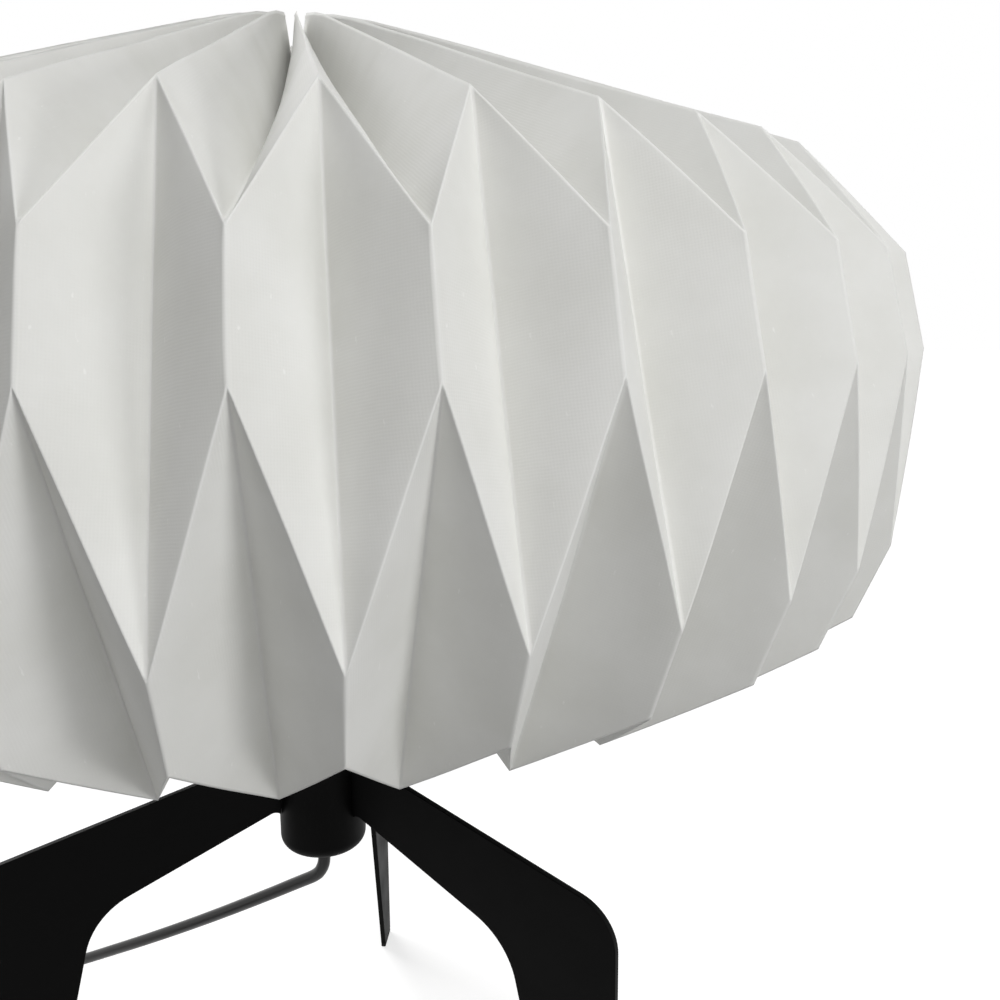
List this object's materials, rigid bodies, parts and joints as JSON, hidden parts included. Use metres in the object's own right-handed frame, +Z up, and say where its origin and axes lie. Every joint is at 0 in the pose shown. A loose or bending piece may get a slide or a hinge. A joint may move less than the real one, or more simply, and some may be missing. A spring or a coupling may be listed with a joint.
{
  "type": "table lamp",
  "caption": "Table lamp with a round pleated paper shade on flat splayed legs that meet at a short round hub, with a mains lead, hand switch and plug.",
  "frame": {"origin": "on the surface it stands on, on the upright axis of the hub and shade", "axes": "+Z up along the lamp's axis; +Y towards the rear leg; the other two legs at 210 and 330 degrees from +X"},
  "size_m": [0.5425, 0.5, 0.534],
  "materials": {
    "white_paper": "matt, fine linen tooth",
    "black_steel": "fine matt powder coat",
    "black_rubber": "matt",
    "black_plastic": "satin",
    "black_flex": "smooth sheath",
    "white_plastic": "satin",
    "opal_glass": "opal glass, not clear",
    "zinc_steel": "zinc plated",
    "nickel_brass": "plain",
    "aluminium_cap": "rolled",
    "black_ceramic": "vitreous",
    "lead_blue": "insulation",
    "lead_brown": "insulation"
  },
  "bodies": {
    "stand": {"carrier_ring": "zinc_steel", "carrier_plate": "zinc_steel", "carrier_uprights": "zinc_steel", "shade_ring": "black_plastic", "lampholder_cap": "black_plastic", "lampholder_skirt": "black_plastic", "lampholder_insert": "white_plastic", "contact_shell": "nickel_brass", "centre_contact": "nickel_brass", "terminal_blocks": "nickel_brass", "terminal_screws": "zinc_steel", "hub_cup": "black_steel", "hub_cap": "black_steel", "threaded_stem": "zinc_steel", "stem_washer": "zinc_steel", "stem_nut": "zinc_steel", "cord_grip": "black_plastic", "leg_rear": "black_steel", "leg_left": "black_steel", "leg_right": "black_steel", "foot_pads": "black_rubber", "cord_in_stem": "black_flex", "live_lead": "lead_brown", "neutral_lead": "lead_blue", "cord_free_run": "black_flex", "cord_to_coil": "black_flex", "cord_coil": "black_flex", "cord_to_plug": "black_flex", "coil_ties": "black_rubber", "plug_body": "black_plastic", "plug_pins": "nickel_brass", "switch_base": "black_plastic", "switch_cover": "black_plastic", "rocker_pin": "zinc_steel", "switch_contacts": "nickel_brass", "switch_screws": "zinc_steel"},
    "shade": {"pleated_shade": "white_paper"},
    "bulb": {"bulb_glass": "opal_glass", "bulb_cap": "aluminium_cap", "bulb_insulator": "black_ceramic", "bulb_contact": "nickel_brass"},
    "rocker": {"switch_rocker": "black_plastic"}
  },
  "joints": [
    {"name": "shade_lift", "type": "slide", "parent": "stand", "child": "shade", "axis": [0, 0, 1], "range_m": [0, 0.24]},
    {"name": "bulb_withdraw", "type": "slide", "parent": "stand", "child": "bulb", "axis": [0, 0, 1], "range_m": [0, 0.025]},
    {"name": "rocker_tilt", "type": "hinge", "parent": "stand", "child": "rocker", "pos_m": [-0.279, -0.008, 0.0151], "axis": [1, 0, 0], "range_deg": [0, 16]}
  ]
}
